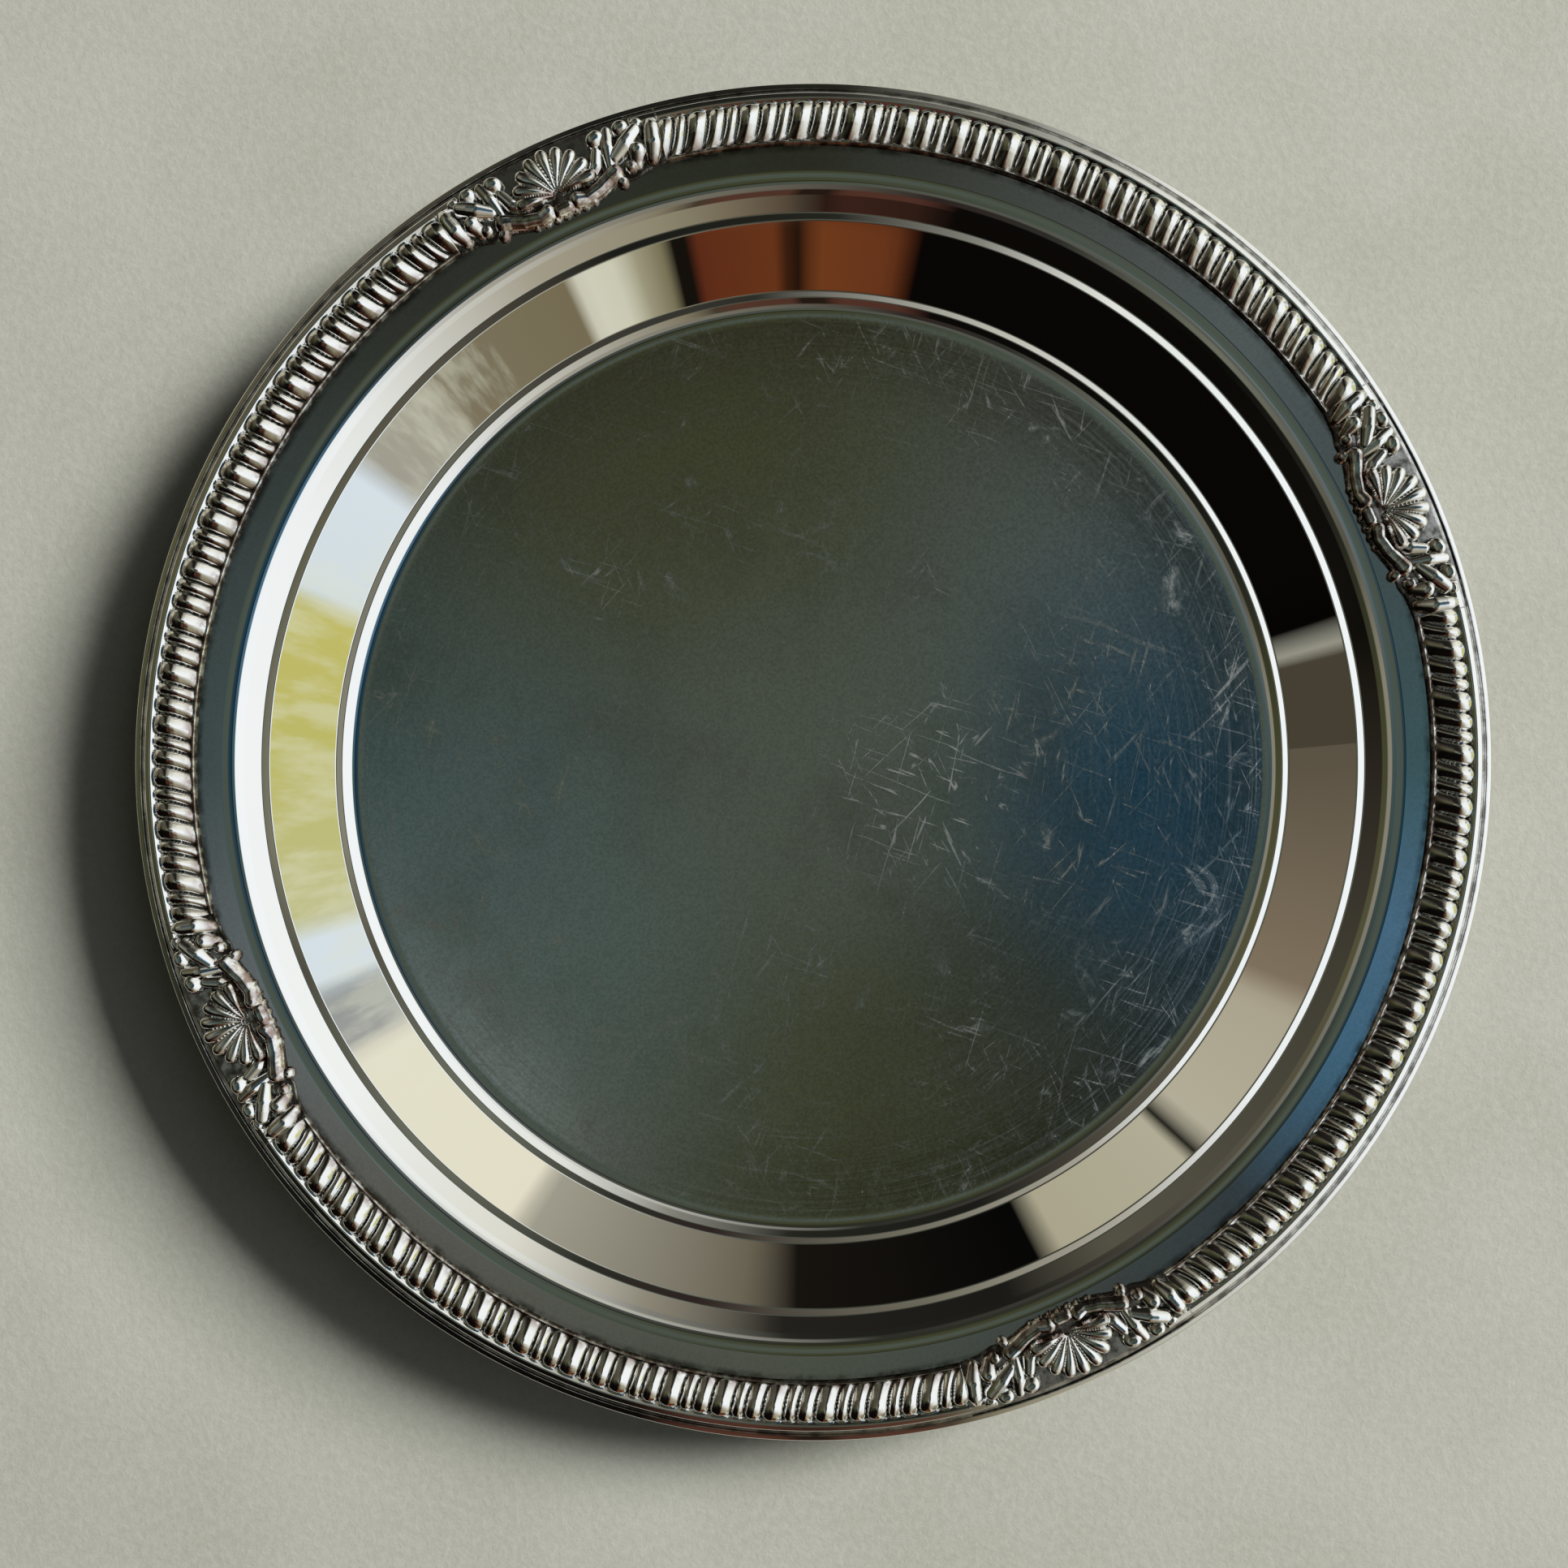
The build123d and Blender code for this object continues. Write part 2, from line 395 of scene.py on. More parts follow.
# %% Room limits
low_band_top = (0.30, 0.33)
mid_band_top = (0.56, 0.62)
high_band_top = (0.80, 0.85)
rim_ring = (0.47, 0.42)
edge_ring = (0.325, 0.30)
floor_ring = (0.277, 0.238)
centre_ring = (0.19, 0.05)
lowest_rise = 0.2
leaf_noise = (16.0, 5.0, 0.65)
leaf_span = (0.42, 0.62)
leaf_colour = (0.84, 0.88, 0.72)
leaf_share = 0.35
leaf_reach = 0.14
room_light = 0.3
backdrop_colour = (0.60, 0.61, 0.56)
half_turn = 0.5
full_turn = 360


def wall_ramp(tree, turn, stops):
    """Colour round the room, as a ramp over one turn."""
    ramp = add(tree, "ShaderNodeValToRGB", {0: turn})
    elements = ramp.color_ramp.elements
    elements[0].position, elements[0].color = stops[0][0] / full_turn, (*stops[0][1], 1.0)
    elements[1].position, elements[1].color = stops[-1][0] / full_turn, (*stops[-1][1], 1.0)
    for degrees, colour in stops[1:-1]:
        elements.new(degrees / full_turn).color = (*colour, 1.0)
    return ramp.outputs[0]


def turn_of(tree, across, along):
    """Share of one turn at which a direction lies."""
    angle = math_node(tree, "ARCTAN2", along, across)
    return math_node(tree, "FRACT", math_node(tree, "DIVIDE", angle, 2 * math.pi))


def room_walls(tree, direction, turn):
    """Colours of the wall bands from the lowest up, with leaves in the window."""
    right = wall_ramp(tree, turn, right_low_walls)
    left = wall_ramp(tree, turn, left_low_walls)
    low = mix_colour(tree, math_node(tree, "GREATER_THAN", turn, half_turn), right, left)
    leaves = noise(tree, direction, *leaf_noise)
    from_behind = math_node(tree, "FRACT", math_node(tree, "ADD", turn, half_turn))
    sockets = {0: from_behind, 1: half_turn, 2: leaf_reach}
    outdoors = add(tree, "ShaderNodeMath", sockets, operation="COMPARE").outputs[0]
    dapple = spread(tree, leaves, *leaf_span, 0.0, leaf_share)
    low = mix_colour(tree, product(tree, dapple, outdoors), low, leaf_colour)
    return [low] + [wall_ramp(tree, turn, band) for band in (mid_walls, high_walls, curtain_band)]


def ceiling_place(tree, axes):
    """Turn of a direction on the ceiling, and its distance from the ceiling's middle."""
    level = math_node(tree, "MAXIMUM", axes[2], lowest_rise)
    sides = [math_node(tree, "DIVIDE", axis, level) for axis in axes[:2]]
    sides = [math_node(tree, "ADD", side, shift) for side, shift in zip(sides, ceiling_shift)]
    square = math_node(tree, "ADD", *[product(tree, side, side) for side in sides])
    return turn_of(tree, *sides), math_node(tree, "SQRT", square)


def build_room():
    """World whose colour depends on the direction: bands of wall and rings of ceiling."""
    world = bpy.data.worlds.new("room")
    bpy.context.scene.world = world
    world.use_nodes = True
    tree = world.node_tree
    direction = add(tree, "ShaderNodeTexCoord").outputs["Generated"]
    turned = turn_place(tree, direction, -photo_turn)
    axes = add(tree, "ShaderNodeSeparateXYZ", {0: turned}).outputs
    rise = axes[2]
    low, mid, high, curtain = room_walls(tree, direction, turn_of(tree, axes[0], axes[1]))
    ceiling_turn, off_middle = ceiling_place(tree, axes)
    layers = [
        (rise, low_band_top, mid),
        (rise, mid_band_top, high),
        (rise, high_band_top, curtain),
        (off_middle, rim_ring, wall_ramp(tree, ceiling_turn, rim_ceiling)),
        (off_middle, edge_ring, wall_ramp(tree, ceiling_turn, edge_ceiling)),
        (off_middle, floor_ring, wall_ramp(tree, ceiling_turn, floor_ceiling)),
        (off_middle, centre_ring, ceiling_centre),
    ]
    colour = low
    for value, (start, end), next_colour in layers:
        colour = mix_colour(tree, spread(tree, value, start, end), colour, next_colour)
    path = add(tree, "ShaderNodeLightPath").outputs
    background = tree.nodes["Background"]
    colour = mix_colour(tree, path["Is Camera Ray"], colour, backdrop_colour)
    tree.links.new(colour, background.inputs[0])
    shown = math_node(tree, "MAXIMUM", path["Is Camera Ray"], path["Is Glossy Ray"])
    sockets = {"Value": shown, "To Min": room_light, "To Max": 1.0}
    strength = add(tree, "ShaderNodeMapRange", sockets).outputs[0]
    tree.links.new(strength, background.inputs[1])
    return world


room = build_room()
print("room", len(room.node_tree.nodes), "nodes")

# %% [markdown]
# ## The key lamp
#
# A soft square panel on the right, a little above, lights the stone and gives the
# shadow on the left. It is hidden from reflections, as a photographer keeps the key
# lamp out of the silver. Its size sets how soft the shadow's edge is.

# %% Lamp
key_turn = 24
key_rise = 30
key_distance = 5.0
key_size = 1.67
key_level = 52.0
key_colour = (1.0, 0.98, 0.94)


def add_key_lamp():
    """Square area lamp that faces the tray."""
    data = bpy.data.lights.new("key_lamp", "AREA")
    data.shape = "SQUARE"
    data.size = key_size
    data.color = key_colour
    data.energy = key_level * math.pi * key_size**2
    lamp = bpy.data.objects.new("key_lamp", data)
    around = math.radians(key_turn) + photo_turn
    up = math.radians(key_rise)
    reach = key_distance * math.cos(up)
    lamp.location = (reach * math.cos(around), reach * math.sin(around), key_distance * math.sin(up))
    lamp.rotation_euler = (math.pi / 2 - up, 0.0, around + math.pi / 2)
    lamp.visible_camera = False
    lamp.visible_glossy = False
    bpy.context.scene.collection.objects.link(lamp)
    return lamp


key_lamp = add_key_lamp()
print("key lamp", tuple(round(side, 2) for side in key_lamp.location))

# %% [markdown]
# ## The stone that the tray stands on
#
# The photograph's table is plain pale stone. One flat plane carries it, with soft
# cloudy tones and a fine grain, so that the shadow reads but nothing distracts.

# %% Stone
stone_half_width = 1.5
stone_drop = 0.00005
stone_dark = (0.43, 0.44, 0.385)
stone_light = (0.49, 0.505, 0.45)
stone_grain = (0.62, 0.63, 0.57)
stone_clouds = (22.0, 5.0, 0.6)
stone_speckle = (900.0, 4.0, 0.7)
speckle_span = (0.35, 0.7)
speckle_share = 0.25
stone_roughness = 0.75
stone_shine = 0.25
stone_bump = 0.0003
stone_bump_share = 0.25


def stone_material():
    """Pale grey-beige stone with cloudy patches and fine grain."""
    material, tree, shader = new_material("pale_stone")
    place = add(tree, "ShaderNodeTexCoord").outputs["Object"]
    clouds = noise(tree, place, *stone_clouds)
    grain = noise(tree, place, *stone_speckle)
    tone = mix_colour(tree, spread(tree, clouds, *noise_span), stone_dark, stone_light)
    speckle = spread(tree, grain, *speckle_span, 0.0, speckle_share)
    colour = mix_colour(tree, speckle, tone, stone_grain)
    tree.links.new(colour, shader.inputs["Base Color"])
    shader.inputs["Roughness"].default_value = stone_roughness
    shader.inputs["Specular IOR Level"].default_value = stone_shine
    bump_surface(tree, shader, grain, stone_bump_share, stone_bump)
    return material


bm = bmesh.new()
bmesh.ops.create_grid(bm, x_segments=1, y_segments=1, size=stone_half_width)
bmesh.ops.translate(bm, verts=bm.verts, vec=(0.0, 0.0, -stone_drop))
stone_mesh = bpy.data.meshes.new("stone")
bm.to_mesh(stone_mesh)
bm.free()
stone_mesh.materials.append(stone_material())
stone = bpy.data.objects.new("stone", stone_mesh)
bpy.context.scene.collection.objects.link(stone)
print("stone", 2 * stone_half_width, "metres wide")

# %% [markdown]
# ## Silver plate
#
# Silver is a metal shader with a pale warm colour. What makes it look used is its
# roughness: the floor and the rim are a little duller from years of cleaning, and the
# wall keeps its polish. All patterns read the surface's own place in millimetres, so
# that they stay on the tray when it is moved.

# %% Colours and places of the silver
silver_colour = (0.87, 0.86, 0.835)
tarnish_colour = (0.30, 0.235, 0.16)
groove_colour = (0.045, 0.037, 0.028)
grime_colour = (0.20, 0.085, 0.05)
grain_colour = (0.50, 0.49, 0.46)
# Pale colour for a painted highlight on the scratches
scratch_highlight_colour = (0.95, 0.95, 0.95)
bump_distance = 0.00003
to_mm = 1000.0
strip_margin = 0.0016
strip_width = 0.0058

strip_outer = tray_radius - strip_margin
strip_inner = strip_outer - strip_width
strip_inner_mm = strip_inner * to_mm


def place_in_mm(tree, turn=0.0, scale=(to_mm, to_mm, to_mm)):
    """The surface's own place, in millimetres or stretched along one direction."""
    place = add(tree, "ShaderNodeTexCoord").outputs["Object"]
    sockets = {0: turn_place(tree, place, turn), 1: scale}
    return add(tree, "ShaderNodeVectorMath", sockets, operation="MULTIPLY").outputs[0]


def off_axis(tree, place):
    """A place without its height, and its distance from the tray's axis."""
    sockets = {0: place, 1: (1.0, 1.0, 0.0)}
    flat = add(tree, "ShaderNodeVectorMath", sockets, operation="MULTIPLY").outputs[0]
    radius = add(tree, "ShaderNodeVectorMath", {0: flat}, operation="LENGTH").outputs["Value"]
    return flat, radius


def past_ring(tree, radius, ring_mm, fade_mm, to_low=0.0, to_high=1.0):
    """Mask that changes just inside or outside one of the tray's rings."""
    start, end = [ring_mm + step for step in fade_mm]
    return spread(tree, radius, start, end, to_low, to_high)


def brightest(tree, masks):
    """The greatest of several masks."""
    result = masks[0]
    for mask in masks[1:]:
        result = math_node(tree, "MAXIMUM", result, mask)
    return result


print("border from", round(strip_inner_mm, 1), "to", round(strip_outer * to_mm, 1), "mm")

# %% [markdown]
# ## Scratches
#
# Coins and cleaning leave thin lines in all directions on the floor. A line is where a
# stretched noise passes one value, and a second noise breaks it up. Some places are
# worn more than others, so a few round spots and slow clouds say how many lines show.

# %% Scratches
# Runs of scratches: turn, length and spacing in millimetres, width share, seed
scratch_runs = [
    (0.75, 16.0, 1.3, 0.034, 3.0),
    (2.25, 20.0, 1.5, 0.030, 11.0),
    (1.55, 12.0, 1.4, 0.028, 23.0),
    (2.75, 24.0, 1.8, 0.026, 31.0),
]

# Worn places as the camera sees them: right and up in millimetres, reach, share
worn_places = [
    (13.0, -2.0, 24.0, 1.0),
    (-26.0, 23.0, 11.0, 0.7),
    (36.0, 10.0, 22.0, 0.35),
    (-4.0, -22.0, 18.0, 0.5),
]
line_noise = (1.0, 1.0, 0.5, 0.3)
line_value = 0.5
break_noise = (2.3, 2.0)
break_span = (0.5, 0.62)
worn_span = (0.40, 0.64)
worn_shares = (0.12, 0.40)
speck_scale = 0.13
dent_span = (0.009, 0.018)
dent_share = 0.8
polish_noise = (1.0, 5.0, 0.65)
polish_rings = 3.2
polish_arcs = 1.6


def scratch_lines(tree, turn, length, spacing, width_share, seed):
    """Mask of long thin scratches that run along one direction."""
    vector = place_in_mm(tree, turn, (to_mm / length, to_mm / spacing, to_mm / spacing))
    sockets = {0: vector, 1: (seed, seed, 0.0)}
    shifted = add(tree, "ShaderNodeVectorMath", sockets, operation="ADD").outputs[0]
    lines = noise(tree, shifted, *line_noise)
    off_line = math_node(tree, "ABSOLUTE", math_node(tree, "SUBTRACT", lines, line_value))
    line = spread(tree, off_line, 0.0, width_share, 1.0, 0.0)
    broken = noise(tree, shifted, *break_noise)
    return product(tree, line, spread(tree, broken, *break_span))


def floor_scratches(tree, flat, clouds):
    """Mask of all scratches and of a few small dents."""
    lines = brightest(tree, [scratch_lines(tree, *run) for run in scratch_runs])
    turned = turn_place(tree, flat, -photo_turn)
    worn = []
    for right, up, reach, share in worn_places:
        sockets = {0: turned, 1: (right, up, 0.0)}
        away = add(tree, "ShaderNodeVectorMath", sockets, operation="DISTANCE").outputs["Value"]
        worn.append(spread(tree, away, reach, 0.0, 0.0, share))
    worn.append(spread(tree, clouds, *worn_span, *worn_shares))
    specks = add(tree, "ShaderNodeTexVoronoi", {"Vector": flat, "Scale": speck_scale}).outputs["Distance"]
    dents = spread(tree, specks, *dent_span, dent_share, 0.0)
    return math_node(tree, "MAXIMUM", product(tree, lines, brightest(tree, worn)), dents)


def polish_marks(tree, flat, radius):
    """Noise drawn out round the axis, as a polishing cloth leaves it."""
    axes = add(tree, "ShaderNodeSeparateXYZ", {0: flat}).outputs
    angle = math_node(tree, "ARCTAN2", axes[1], axes[0])
    sockets = {0: product(tree, radius, polish_rings), 1: product(tree, angle, polish_arcs)}
    ring_place = add(tree, "ShaderNodeCombineXYZ", sockets).outputs[0]
    return noise(tree, ring_place, *polish_noise)


print(len(scratch_runs), "runs of scratches,", len(worn_places), "worn places")

# %% [markdown]
# ## Silver of the dish
#
# One material serves the whole dish, because its finishes run into each other. Masks
# by the distance from the axis say where the floor and the rim are. There the
# roughness is higher, the scratches show and a thin tarnish lies; the scratches are
# also painted paler, a painted highlight. Dirt gathers in the line where the border
# meets the rim.

# %% Silver of the dish
floor_mm = floor_radius * to_mm
rim_inner_mm = rim_inner_radius * to_mm
rim_satin_share = 0.55
mirror_roughness = 0.02
satin_roughness = (0.07, 0.10)
fine_roughness = (-0.005, 0.02)
dull_roughness = 0.26
scratch_roughness = 0.42
dirt_share = 0.75
dirt_span = (0.38, 0.62)
dirt_patch_shares = (0.25, 1.0)
haze_span = (0.45, 0.75)
haze_share = 0.30
grain_span = (0.62, 0.36)
grain_share = 0.5
arc_span = (0.42, 0.78)
arc_shares = (0.15, 0.45)
arc_radii_mm = (20.0, 42.0)
smudge_span = (0.55, 0.75)
smudge_share = 0.8
scratch_highlight_share = 0.15
scratch_depth_share = 0.15
polish_depth_share = 0.3
dish_bump_share = 0.3
cloud_noise = (0.05, 5.0, 0.6)
fine_noise = (1.6, 6.0, 0.7)
smudge_noise = (0.11, 6.0, 0.7, 1.2)
patch_noise = (0.35, 6.0, 0.65)
grain_noise = (2.6, 4.0, 0.75)
floor_fade_mm = (-1.2, 0.2)
rim_fade_mm = (0.2, 3.2)
dirt_fade_mm = (-0.9, -0.1)
dirt_end_mm = (6.6, 6.9)


def dish_roughness(tree, satin, dull, scratch, clouds, fine):
    """Roughness of the dish: mirror, satin, dull marks and scratches."""
    satin_level = spread(tree, clouds, *noise_span, *satin_roughness)
    rough = add(tree, "ShaderNodeMix", {"Factor": satin, 2: mirror_roughness, 3: satin_level}).outputs[0]
    fine_level = spread(tree, fine, *noise_span, *fine_roughness)
    rough = math_node(tree, "ADD", rough, product(tree, fine_level, satin))
    rough = math_node(tree, "ADD", rough, product(tree, dull, dull_roughness))
    return math_node(tree, "ADD", rough, product(tree, scratch, scratch_roughness), clamp=True)


def dish_colour(tree, place, radius, satin, scratch, clouds):
    """Colour of the dish: silver, grain, tarnish, dirt by the border, and a painted highlight on the
    scratches.
    """
    patches = noise(tree, place, *patch_noise)
    inside = past_ring(tree, radius, strip_inner_mm, dirt_fade_mm)
    dirt = product(tree, inside, spread(tree, patches, *dirt_span, *dirt_patch_shares))
    haze = spread(tree, clouds, *haze_span, 0.0, haze_share)
    grain = spread(tree, noise(tree, place, *grain_noise), *grain_span)
    grainy = product(tree, grain, product(tree, satin, grain_share))
    colour = mix_colour(tree, grainy, silver_colour, grain_colour)
    colour = mix_colour(tree, product(tree, haze, satin), colour, tarnish_colour)
    colour = mix_colour(tree, product(tree, dirt, dirt_share), colour, groove_colour)
    outside = past_ring(tree, radius, strip_inner_mm, dirt_end_mm)
    colour = mix_colour(tree, outside, colour, silver_colour)
    # Painted highlight: scratches are painted paler, as if they caught light
    return mix_colour(tree, product(tree, scratch, scratch_highlight_share), colour, scratch_highlight_colour)


def dish_silver():
    """Satin floor and rim with scratches, a mirror wall, light tarnish."""
    material, tree, shader = new_material("silver_dish")
    place = place_in_mm(tree)
    flat, radius = off_axis(tree, place)
    on_floor = past_ring(tree, radius, floor_mm, floor_fade_mm, 1.0, 0.0)
    on_rim = past_ring(tree, radius, rim_inner_mm, rim_fade_mm)
    satin = math_node(tree, "ADD", on_floor, product(tree, on_rim, rim_satin_share), clamp=True)
    clouds = noise(tree, place, *cloud_noise)
    fine = noise(tree, place, *fine_noise)
    polish = polish_marks(tree, flat, radius)
    arcs = product(
        tree,
        spread(tree, polish, *arc_span),
        spread(tree, radius, *arc_radii_mm, *arc_shares),
    )
    smudges = spread(tree, noise(tree, place, *smudge_noise), *smudge_span, 0.0, smudge_share)
    dull = product(tree, math_node(tree, "MAXIMUM", smudges, arcs), on_floor)
    scratch = product(tree, floor_scratches(tree, flat, clouds), on_floor)
    rough = dish_roughness(tree, satin, dull, scratch, clouds, fine)
    colour = dish_colour(tree, place, radius, satin, scratch, clouds)
    tree.links.new(rough, shader.inputs["Roughness"])
    tree.links.new(colour, shader.inputs["Base Color"])
    shader.inputs["Metallic"].default_value = 1.0
    height = product(tree, polish, product(tree, satin, polish_depth_share))
    height = math_node(tree, "SUBTRACT", height, product(tree, scratch, scratch_depth_share))
    bump_surface(tree, shader, height, dish_bump_share, bump_distance)
    return material


silver_of_dish = dish_silver()
print("dish silver", len(silver_of_dish.node_tree.nodes), "nodes")

# %% [markdown]
# ## Silver of the border
#
# Hands and cloths polish the tops of a relief, and the hollows stay black. Each
# border piece carries its own depth as an attribute named groove, which its mesh
# writes below, and this material turns depth into near-black colour: partly tarnish,
# partly painted shade in the hollows and on the low ground. Red-brown grime lies
# along the strips' inner ends.

# %% Silver of the border
grime_fade_mm = (0.4, 1.9)
relief_roughness = (0.04, 0.09)
groove_roughness = 0.35
groove_uneven = 0.12
grime_share = 0.75
grime_span = (0.35, 0.6)
groove_span = (0.5, 1.0)
relief_bump_share = 0.15
tarnish_noise = (0.9, 5.0, 0.6)
relief_noise = (6.0, 4.0, 0.7)


def border_silver():
    """Polished relief whose grooves are black with tarnish and painted shade, by the mesh's own depth."""
    material, tree, shader = new_material("silver_border")
    place = place_in_mm(tree)
    depth = add(tree, "ShaderNodeAttribute", attribute_name="groove").outputs["Fac"]
    patches = noise(tree, place, *tarnish_noise)
    fine = noise(tree, place, *relief_noise)
    uneven = spread(tree, patches, *noise_span, -groove_uneven, groove_uneven)
    dark = spread(tree, math_node(tree, "ADD", depth, uneven), *groove_span)
    radius = off_axis(tree, place)[1]
    foot = past_ring(tree, radius, strip_inner_mm, grime_fade_mm, grime_share, 0.0)
    grime = product(tree, foot, spread(tree, patches, *grime_span))
    colour = mix_colour(tree, grime, silver_colour, grime_colour)
    # Painted shade with tarnish: hollows and low ground go near black
    colour = mix_colour(tree, dark, colour, groove_colour)
    tree.links.new(colour, shader.inputs["Base Color"])
    rough = spread(tree, fine, *noise_span, *relief_roughness)
    rough = math_node(tree, "ADD", rough, product(tree, dark, groove_roughness), clamp=True)
    tree.links.new(rough, shader.inputs["Roughness"])
    shader.inputs["Metallic"].default_value = 1.0
    bump_surface(tree, shader, fine, relief_bump_share, bump_distance)
    return material


silver_of_border = border_silver()
print("border silver", len(silver_of_border.node_tree.nodes), "nodes")

# %% [markdown]
# ## The dish
#
# The real dish is pressed from one round sheet, so one outline turned about the axis
# makes it. The outline starts as a few corners. Each corner is bevelled to its own
# bend, the underside runs one sheet's thickness below, and a spin closes the form.
# One more corner on the flat floor keeps the cove's shading from spreading over it.

# %% Outline of the dish
spin_steps = 384
bend_segments = 10
weld_distance = 0.0000002


def offset_corners(corners, distance):
    """The same outline, moved sideways by one distance."""
    moved = []
    for i, (x, z) in enumerate(corners):
        normals = []
        for start, end in ((i - 1, i), (i, i + 1)):
            if start >= 0 and end < len(corners):
                run = (corners[end][0] - corners[start][0], corners[end][1] - corners[start][1])
                length = math.hypot(*run)
                normals.append((run[1] / length, -run[0] / length))
        across = sum(normal[0] for normal in normals) / len(normals)
        up = sum(normal[1] for normal in normals) / len(normals)
        square = across * across + up * up
        moved.append((x + distance * across / square, z + distance * up / square))
    return moved


flat_margin = 0.0016
under_bend = 0.0005
under_cove_bend = 0.0024

# Corners of the sheet: radius, height, bend of the upper side, bend of the underside
sheet_corners = [
    (0.0, sheet, 0.0, 0.0),
    (floor_radius - flat_margin, sheet, 0.0, 0.0),
    (floor_radius, sheet, cove_bend, under_cove_bend),
    (floor_step_radius, floor_step_top, ledge_bend, 0.0),
    (wall_foot_radius, wall_foot_height, ledge_bend, under_bend),
    (wall_top_radius, wall_top_height, ledge_bend, 0.0),
    (shoulder_foot_radius, shoulder_foot_height, ledge_bend, under_bend),
    (rim_inner_radius, rim_top, shoulder_bend, shoulder_bend - sheet),
    (tray_radius - 2 * edge_radius, rim_top, edge_radius / 2, 0.0),
]
upper_corners = [corner[:2] for corner in sheet_corners]
upper_bends = [corner[2] for corner in sheet_corners]
lower_corners = offset_corners(upper_corners, sheet)
lower_bends = [corner[3] for corner in sheet_corners]

# The raised lip: distance inside the tray's radius, height above the rim, bend
lip_corners = [
    (0.00095, -0.00005, 0.00005),
    (0.00078, 0.0002, 0.0001),
    (0.00015, 0.00006, 0.0002),
    (0.0, -0.00025, 0.0003),
]
edge_foot_bend = 0.0004
hem_radius = tray_radius - edge_radius - hem_width
edge_foot = rim_top - 2 * edge_radius
edge_corners = [(tray_radius - inside, rim_top + above) for inside, above, bend in lip_corners]
edge_corners += [(tray_radius, edge_foot), (hem_radius, edge_foot)]
edge_bends = [corner[2] for corner in lip_corners] + [edge_foot_bend, 0.0]
hem_corner = (hem_radius, rim_top - sheet)


def bevel_corner(bm, vertex, bend):
    """Rounds one corner of an outline to a bend radius."""
    runs = [edge.other_vert(vertex).co - vertex.co for edge in vertex.link_edges]
    turn = math.pi - runs[0].angle(runs[1])
    reach = bend * math.tan(turn / 2)
    bmesh.ops.bevel(
        bm,
        geom=[vertex],
        offset=reach,
        segments=bend_segments,
        profile=0.5,
        affect="VERTICES",
        material=-1,
    )


def build_dish():
    """The turned sheet with its bends, its rolled edge and its underside."""
    corners = upper_corners + edge_corners + [hem_corner] + lower_corners[-2::-1]
    bends = upper_bends + edge_bends + [0.0] + lower_bends[-2::-1]
    bm = bmesh.new()
    vertices = [bm.verts.new((x, 0.0, z)) for x, z in corners]
    for start, end in zip(vertices, vertices[1:]):
        bm.edges.new((start, end))
    for vertex, bend in zip(vertices, bends):
        if bend:
            bevel_corner(bm, vertex, bend)
    geometry = list(bm.verts) + list(bm.edges)
    bmesh.ops.spin(
        bm,
        geom=geometry,
        cent=(0.0, 0.0, 0.0),
        axis=(0.0, 0.0, 1.0),
        angle=2 * math.pi,
        steps=spin_steps,
        use_merge=True,
    )
    bmesh.ops.remove_doubles(bm, verts=bm.verts, dist=weld_distance)
    bmesh.ops.recalc_face_normals(bm, faces=bm.faces)
    return bm


def finish_piece(bm, name, material, node):
    """Makes a bmesh a smooth piece that rides on the tray and stands for a node."""
    for face in bm.faces:
        face.smooth = True
    mesh = bpy.data.meshes.new(name)
    bm.to_mesh(mesh)
    bm.free()
    mesh.materials.append(material)
    piece = bpy.data.objects.new(name, mesh)
    bpy.context.scene.collection.objects.link(piece)
    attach(piece, "root")
    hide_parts(node)
    return piece


dish = finish_piece(build_dish(), "pressed_dish", silver_of_dish, "dish")
print("dish faces", len(dish.data.polygons))

# %% [markdown]
# ## How a stamped relief is made
#
# A stamping is a sheet whose height changes from place to place. So each border
# piece starts as a flat grid, bent round the tray, and every point is lifted by a
# height that its ornament gives there. The grid sinks a little into the rim at its
# edges, where the real piece is soldered on. A point that lies deeper than its
# neighbours is a groove, and how deep it lies is kept for the material, which paints
# tarnish and shade there. Low ground near the rim is kept as deep as well.

# %% Relief sheet
seat_depth = 0.0004
grid_floor = 0.0006
hollow_reach = 0.00045
low_height = 0.0008
low_fade = 0.0004
# Share of tarnish and painted shade on the low ground near the rim
low_tarnish_and_shade = 0.9
hollow_samples = 8


